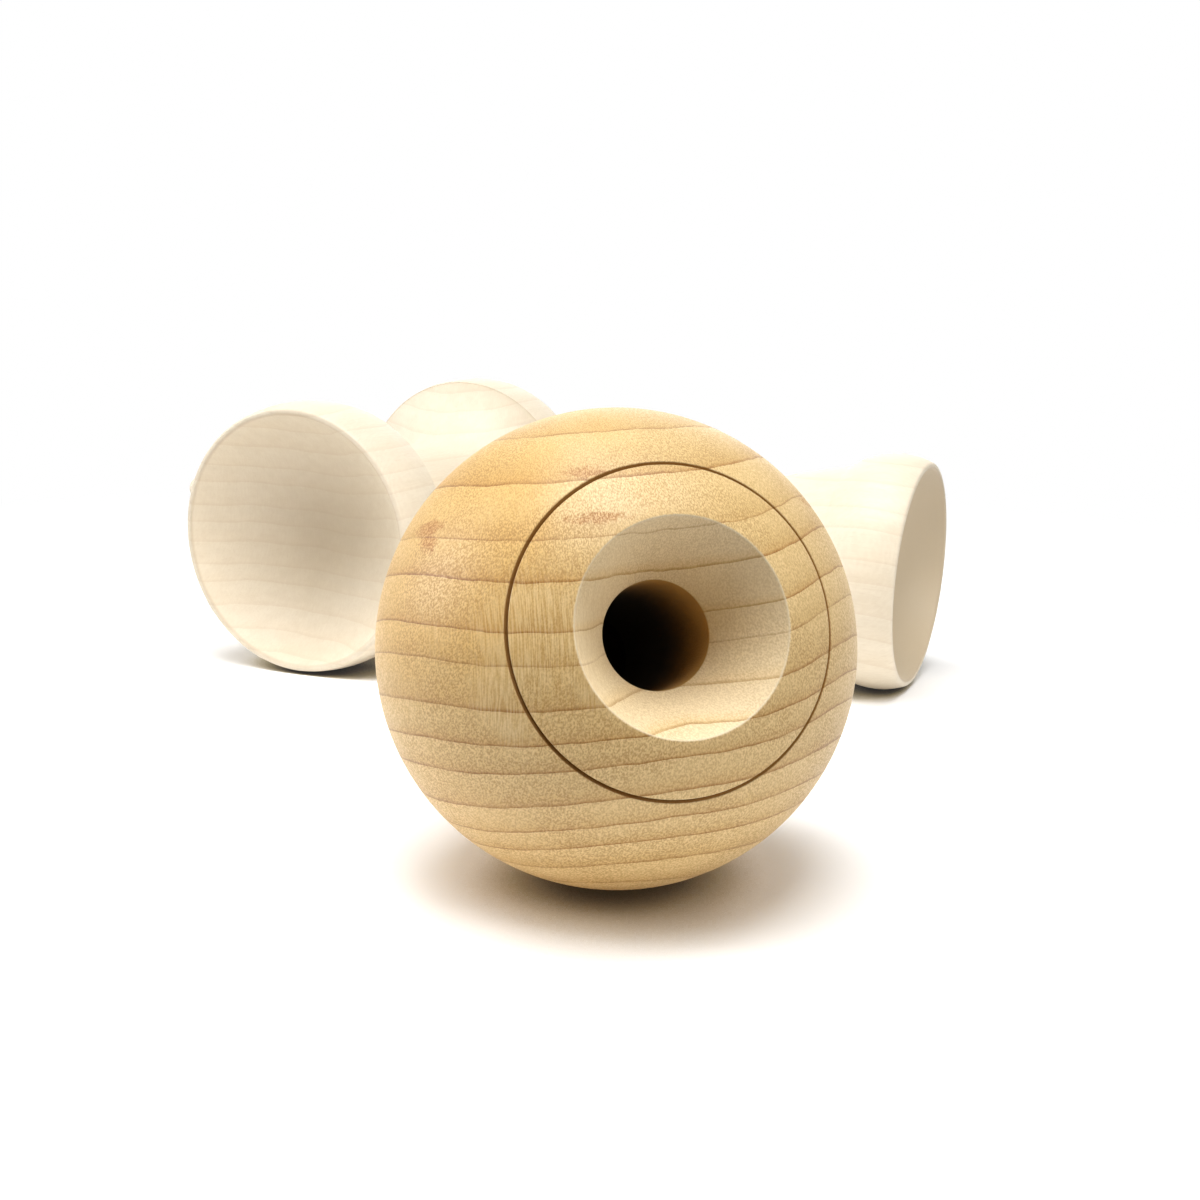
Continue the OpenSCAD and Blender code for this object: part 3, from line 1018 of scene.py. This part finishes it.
# Wood of the handle and the cross-piece, in millimetres of their logs

HANDLE_RINGS = {"Pith": 70.0, "Count": 3.3, "Rate": 0.21, "Crowding": 0.0006, "Jag": 0.5}
CROSS_PIECE_RINGS = {"Pith": 90.0, "Count": 5.6, "Rate": 0.24, "Crowding": 0.0006, "Jag": 0.5}
PALE_RAY = (0.22, 1.8, 1.1)
SWAY_NOISE = (2.0, 0.5, (0.03, 0.01, 0.012))
SWAY = 9.0

# Tones: soft steps over the season, the streaks, the fibre and the gap to the next ring
PALE_SEASON = (0.2, 1.0)
PALE_STREAK = (0.3, 0.7)
PALE_RAY_SHARE = 0.12
PALE_FIBRE = (0.52, 0.75, 0.0, 0.16)
PALE_LINE = (0.1, 0.75, 0.18, 0.0)

# Bowls: room round the sphere and its soft edge, darker end grain with painted shade that deepens near the
# axis, and the rubbed lip
BOWL_ROOM = 0.15
BOWL_EDGE = 0.35
BOWL_MIDDLE = (3.0, 20.0)
MIDDLE_SHADE = 0.4
LIP_STEP = (0.1, 0.5, 0.35, 0.0)

# Surface: shares of the relief, and the roughness over the fibre
PALE_RELIEF = 0.025 * MM
PALE_FIBRE_HEIGHT = 0.6
PALE_GRAIN_HEIGHT = 0.3
PALE_MARK_HEIGHT = 0.45
PALE_MARK_PITCH = 0.3
PALE_ROUGH = (0.3, 0.7, 0.46, 0.6)


def bowl_shaded(nodes, wood, place, colour, reach, lip_r, bowl, shade):
    """Darker end grain with painted shade in a bowl, deeper near its axis, and its rubbed lip over a
    colour; lengths are in metres.
    """
    x, y, z = nodes.parts(place)
    from_axis = nodes.from_axis(x, y)
    centre = (reach + math.copysign(math.sqrt(bowl**2 - lip_r**2), reach)) / MM
    edge = bowl / MM + BOWL_ROOM
    to_centre = nodes.vector("DISTANCE", place, (0, 0, centre), out="Value")
    inside = nodes.fade(to_centre, edge, edge + BOWL_EDGE, 1.0, 0.0)
    # Painted shade: darker towards the bowl's axis
    deep = nodes.fade(from_axis, *BOWL_MIDDLE, min(shade + MIDDLE_SHADE, 1.0), shade)
    colour = nodes.tint(nodes.product(inside, deep), colour, wood.end_grain_and_shade)
    to_lip = nodes.math("MAXIMUM", nodes.apart(from_axis, lip_r / MM), nodes.apart(z, reach / MM))
    return nodes.tint(nodes.fade(to_lip, *LIP_STEP), colour, wood.edge)


def pale_wood(name, wood, origin, axis, ring_sizes, bowls):
    """Pale maple of the handle and the cross-piece, its fibre along the axis of turning."""
    material, nodes, shader = new_material(name)
    place = log_axes(nodes, origin, axis, downward(axis))
    sway = nodes.math("SUBTRACT", nodes.noise(place, *SWAY_NOISE), NOISE_MIDDLE)
    rings = nodes.use("Growth Rings", {"Place": place, "Bend": nodes.product(sway, SWAY), **ring_sizes})
    rays = nodes.use("Rays", {"Place": rings["Unrolled"], "Ray Size": PALE_RAY})
    fibre = nodes.use("Fibre", {"Unrolled": rings["Unrolled"]})
    marks = nodes.use("Tool Marks", {"Lathe Place": place, "Pitch": PALE_MARK_PITCH})

    colour = nodes.tint(nodes.fade(rings["Season"], *PALE_SEASON), wood.early_wood, wood.late_wood)
    colour = nodes.tint(nodes.fade(fibre["Streak"], *PALE_STREAK), colour, wood.streak, "MULTIPLY")
    colour = nodes.tint(nodes.product(rays["Stroke"], PALE_RAY_SHARE), colour, wood.ray)
    colour = nodes.tint(nodes.fade(fibre["Fibre"], *PALE_FIBRE), colour, wood.ring_line)
    colour = nodes.tint(nodes.fade(rings["Gap"], *PALE_LINE), colour, wood.ring_line)
    for bowl in bowls:
        colour = bowl_shaded(nodes, wood, place, colour, *bowl)

    rough = nodes.fade(fibre["Fibre"], *PALE_ROUGH)
    height = nodes.product(fibre["Fibre"], PALE_FIBRE_HEIGHT)
    height = nodes.scaled(rays["Grain"], PALE_GRAIN_HEIGHT, height)
    height = nodes.scaled(marks["Mark"], PALE_MARK_HEIGHT, height)
    finish_wood(nodes, shader, colour, rough, height, PALE_RELIEF)
    return material


# Floor and room, in metres

FLOOR_ROUGH = 0.8
FLOOR_SPECULAR = 0.1

# Soft steps away from the toy's middle
WHITE_STEP = (0.16, 0.34)
BOUNCE_STEP = (0.09, 0.20)

# Soft steps away from the place below the ball
GLINT_STEP = (0.005, 0.03)
UNDER_STEP = (0.04, 0.11)
BELOW_STEP = (0.008, 0.035, 0.25, 1.0)

# Shade: its reach, soft steps over the open share of the sky, and its end along a way over the floor
SHADE_REACH = 0.07
CONTACT_STEP = (0.05, 0.33)
SHADE_START = 0.25
SHADE_END = (0.008, 0.04, 0.43, 0.76)
SHADE_WAY = (0.423, -0.906, 0.0)


def seen_rays(nodes):
    """Which rays see the white: those of the camera, of reflections and through glass."""
    path = nodes.add("ShaderNodeLightPath").outputs
    seen = nodes.math("MAXIMUM", path["Is Camera Ray"], path["Is Glossy Ray"])
    return nodes.math("MAXIMUM", seen, path["Is Transmission Ray"])


def floor_shade(nodes, stage, from_ball):
    """The shade that the pieces leave on a white floor, dark where they touch it."""
    open_share = nodes.add("ShaderNodeAmbientOcclusion", {"Distance": SHADE_REACH}).outputs["AO"]
    along = nodes.vector("DOT_PRODUCT", from_ball, SHADE_WAY, out="Value")
    shade_end = nodes.fade(along, *SHADE_END)
    shade = nodes.tint(nodes.fade(open_share, *CONTACT_STEP), stage.contact_shade, stage.soft_shade)
    return nodes.tint(nodes.fade(open_share, SHADE_START, shade_end), shade, WHITE)


def floor_white(stage):
    """A white floor that keeps the toy's shade, and throws some light up at the ball."""
    material, nodes, shader = new_material("Floor White")
    seen = seen_rays(nodes)
    place = nodes.add("ShaderNodeTexCoord").outputs["Object"]
    away = nodes.vector("LENGTH", place, out="Value")
    from_ball = nodes.vector("SUBTRACT", place, (BALL_CENTRE.x, BALL_CENTRE.y, 0))
    to_ball = nodes.vector("LENGTH", from_ball, out="Value")
    glint = nodes.tint(nodes.fade(to_ball, *GLINT_STEP), stage.glint, WHITE)
    bounce = nodes.tint(nodes.fade(away, *BOUNCE_STEP), glint, stage.far_floor)
    colour = nodes.tint(seen, bounce, floor_shade(nodes, stage, from_ball))
    nodes.feed(shader.inputs["Base Color"], colour)
    shader.inputs["Roughness"].default_value = FLOOR_ROUGH
    shader.inputs["Specular IOR Level"].default_value = FLOOR_SPECULAR

    under = nodes.fade(to_ball, *UNDER_STEP, stage.floor_bounce, 0.0)
    under = nodes.product(under, nodes.fade(to_ball, *BELOW_STEP))
    glow = nodes.scaled(nodes.math("SUBTRACT", stage.floor_glow, under), seen, under)
    lift = nodes.add("ShaderNodeEmission", {"Color": glint, "Strength": glow})
    near = nodes.add("ShaderNodeAddShader", {0: shader.outputs[0], 1: lift.outputs[0]})
    white = nodes.add("ShaderNodeEmission", {"Color": (*WHITE, 1.0), "Strength": 1.0})
    far = nodes.product(nodes.fade(away, *WHITE_STEP), seen)
    mix = nodes.add("ShaderNodeMixShader", {0: far, 1: near.outputs[0], 2: white.outputs[0]})
    nodes.feed(material.node_tree.nodes["Material Output"].inputs["Surface"], mix.outputs[0])
    return material


# Operators

# Place, turn in degrees and width of each lamp, whose power is the setting of its name
LAMPS = {
    "top_lamp": ((0.07, -0.15, 0.62), (0, 0, 0), 0.44),
    "left_lamp": ((-0.8, -0.28, 0.4), (0, -68, 19), 0.5),
    "right_lamp": ((0.85, -0.2, 0.42), (0, 68, -13), 0.5),
    "back_lamp": ((-0.3, 0.85, 0.22), (0, 78, 109.4), 0.6),
}
NEAREST_SEEN = 1 * MM


class CUPBALL_OT_turn_ball(bpy.types.Operator):
    """Turn the ball with its mouth, hole, string hole and groove"""

    bl_idname = "cupball.turn_ball"
    bl_label = "Turn Ball"

    def execute(self, context):
        ball = settings().ball
        piece = turned("turned_ball", ball_outline(ball), BALL_CENTRE, HOLE_AXIS)
        finished(piece, ball_wood(ball), "ball")
        return {"FINISHED"}


class CUPBALL_OT_turn_handle(bpy.types.Operator):
    """Turn the handle with its base cup, grip, taper and spike, and bore it for the string"""

    bl_idname = "cupball.turn_handle"
    bl_label = "Turn Handle"

    def execute(self, context):
        handle = settings().handle
        cross_piece = settings().cross_piece
        middle = middle_of(handle)
        piece = turned("turned_handle", handle_outline(handle, cross_piece), middle, HANDLE_AXIS)
        hole = middle + HANDLE_AXIS * cross_piece.string_offset
        reach = STRING_AXIS * cross_piece.waist
        string_r = handle.string_hole / 2
        bored(piece, hole - reach, hole + reach, string_r, string_r)
        lip_r = base_rim_radius(handle) - handle.lip
        bowls = [(handle.base_reach, lip_r, handle.base_bowl, handle.base_shade)]
        wood = pale_wood("Handle Wood", settings().wood, middle, HANDLE_AXIS, HANDLE_RINGS, bowls)
        finished(piece, wood, "handle")
        return {"FINISHED"}


class CUPBALL_OT_turn_cross_piece(bpy.types.Operator):
    """Turn the cross-piece with its two cups, and bore it for the handle and the string"""

    bl_idname = "cupball.turn_cross_piece"
    bl_label = "Turn Cross-piece"

    def execute(self, context):
        cross_piece = settings().cross_piece
        handle = settings().handle
        middle = middle_of(handle)
        piece = turned("turned_cross_piece", cross_piece_outline(cross_piece), middle, CROSS_AXIS)
        reach = cross_piece.waist / 2 + CUTTER_OVERRUN
        narrow_r = taper_radius(handle, cross_piece, -reach) + cross_piece.seat_gap
        wide_r = taper_radius(handle, cross_piece, reach) + cross_piece.seat_gap
        bored(piece, middle - HANDLE_AXIS * reach, middle + HANDLE_AXIS * reach, narrow_r, wide_r)
        hole = middle + HANDLE_AXIS * cross_piece.string_offset
        string_r = cross_piece.string_hole / 2
        bored(piece, hole, hole + STRING_AXIS * cross_piece.waist, string_r, string_r)
        bowls = []
        for (cup, rim_at, band), way, shade in (
            (small_cup(cross_piece), -1, cross_piece.small_shade),
            (big_cup(cross_piece), 1, cross_piece.big_shade),
        ):
            lip_r = cup_rim_radius(cross_piece, cup, band) - cross_piece.lip
            bowls.append((way * rim_at, lip_r, cross_piece.bowl, shade))
        wood = pale_wood(
            "Cross-piece Wood", settings().wood, middle, CROSS_AXIS, CROSS_PIECE_RINGS, bowls
        )
        finished(piece, wood, "cross_piece")
        return {"FINISHED"}


class CUPBALL_OT_set_stage(bpy.types.Operator):
    """Set the floor, the lamps, the white room and the camera"""

    bl_idname = "cupball.set_stage"
    bl_label = "Set Stage"

    def execute(self, context):
        stage = settings().stage
        self.add_floor(stage)
        self.add_room(stage)
        for name, (place, turn, size) in LAMPS.items():
            self.add_lamp(name, place, turn, size, getattr(stage, name))
        self.add_camera(stage)
        context.scene.view_settings.view_transform = "Standard"
        return {"FINISHED"}

    def add_floor(self, stage):
        """A pale floor that keeps the toy's shade and turns white further out."""
        deselect_all()
        bpy.ops.mesh.primitive_plane_add(size=stage.floor_size, location=(0, 0, 0))
        floor = bpy.context.object
        floor.name = "floor"
        floor.data.materials.append(floor_white(stage))

    def add_room(self, stage):
        """A white room to the camera, which lights the toy at a plain level."""
        world = bpy.data.worlds.new("White Room")
        world.use_nodes = True
        bpy.context.scene.world = world
        nodes = Nodes(world.node_tree)
        level = stage.room_light
        colour = nodes.tint(seen_rays(nodes), (level, level, level), WHITE)
        nodes.feed(world.node_tree.nodes["Background"].inputs["Color"], colour)

    def add_lamp(self, name, place, turn, size, power):
        """A square soft lamp."""
        deselect_all()
        bpy.ops.object.light_add(
            type="AREA", location=place, rotation=[math.radians(angle) for angle in turn]
        )
        lamp = bpy.context.object
        lamp.name = name
        lamp.data.size = size
        lamp.data.energy = power

    def add_camera(self, stage):
        """The camera of the photograph's view."""
        deselect_all()
        bpy.ops.object.camera_add(location=stage.camera_place, rotation=stage.camera_turn)
        camera = bpy.context.object
        camera.name = "camera"
        camera.data.lens = stage.lens
        camera.data.clip_start = NEAREST_SEEN
        bpy.context.scene.camera = camera


class CUPBALL_PT_toy(bpy.types.Panel):
    """The toy's pieces and stage"""

    bl_idname = "CUPBALL_PT_toy"
    bl_label = "Cup and Ball"
    bl_space_type = "VIEW_3D"
    bl_region_type = "UI"
    bl_category = "Cup and Ball"

    def draw(self, context):
        for operator in OPERATORS:
            self.layout.operator(operator.bl_idname)
        toy = context.scene.cup_and_ball
        self.layout.prop(toy, "turn_steps")
        for group in (toy.ball, toy.handle, toy.cross_piece, toy.wood, toy.stage):
            box = self.layout.box()
            for name in group.__annotations__:
                box.prop(group, name)


SETTINGS = (BallSettings, HandleSettings, CrossPieceSettings, WoodSettings, StageSettings, ToySettings)
OPERATORS = (
    CUPBALL_OT_turn_ball,
    CUPBALL_OT_turn_handle,
    CUPBALL_OT_turn_cross_piece,
    CUPBALL_OT_set_stage,
)
CLASSES = (*SETTINGS, *OPERATORS, CUPBALL_PT_toy)


def register():
    """Registers the settings, the operators and the panel."""
    for cls in CLASSES:
        bpy.utils.register_class(cls)
    bpy.types.Scene.cup_and_ball = PointerProperty(type=ToySettings)


def unregister():
    """Takes them out again."""
    del bpy.types.Scene.cup_and_ball
    for cls in reversed(CLASSES):
        bpy.utils.unregister_class(cls)


def main():
    """Makes the toy and its stage."""
    register()
    bpy.ops.cupball.turn_ball()
    bpy.ops.cupball.turn_handle()
    bpy.ops.cupball.turn_cross_piece()
    bpy.ops.cupball.set_stage()


if __name__ == "__main__":
    main()
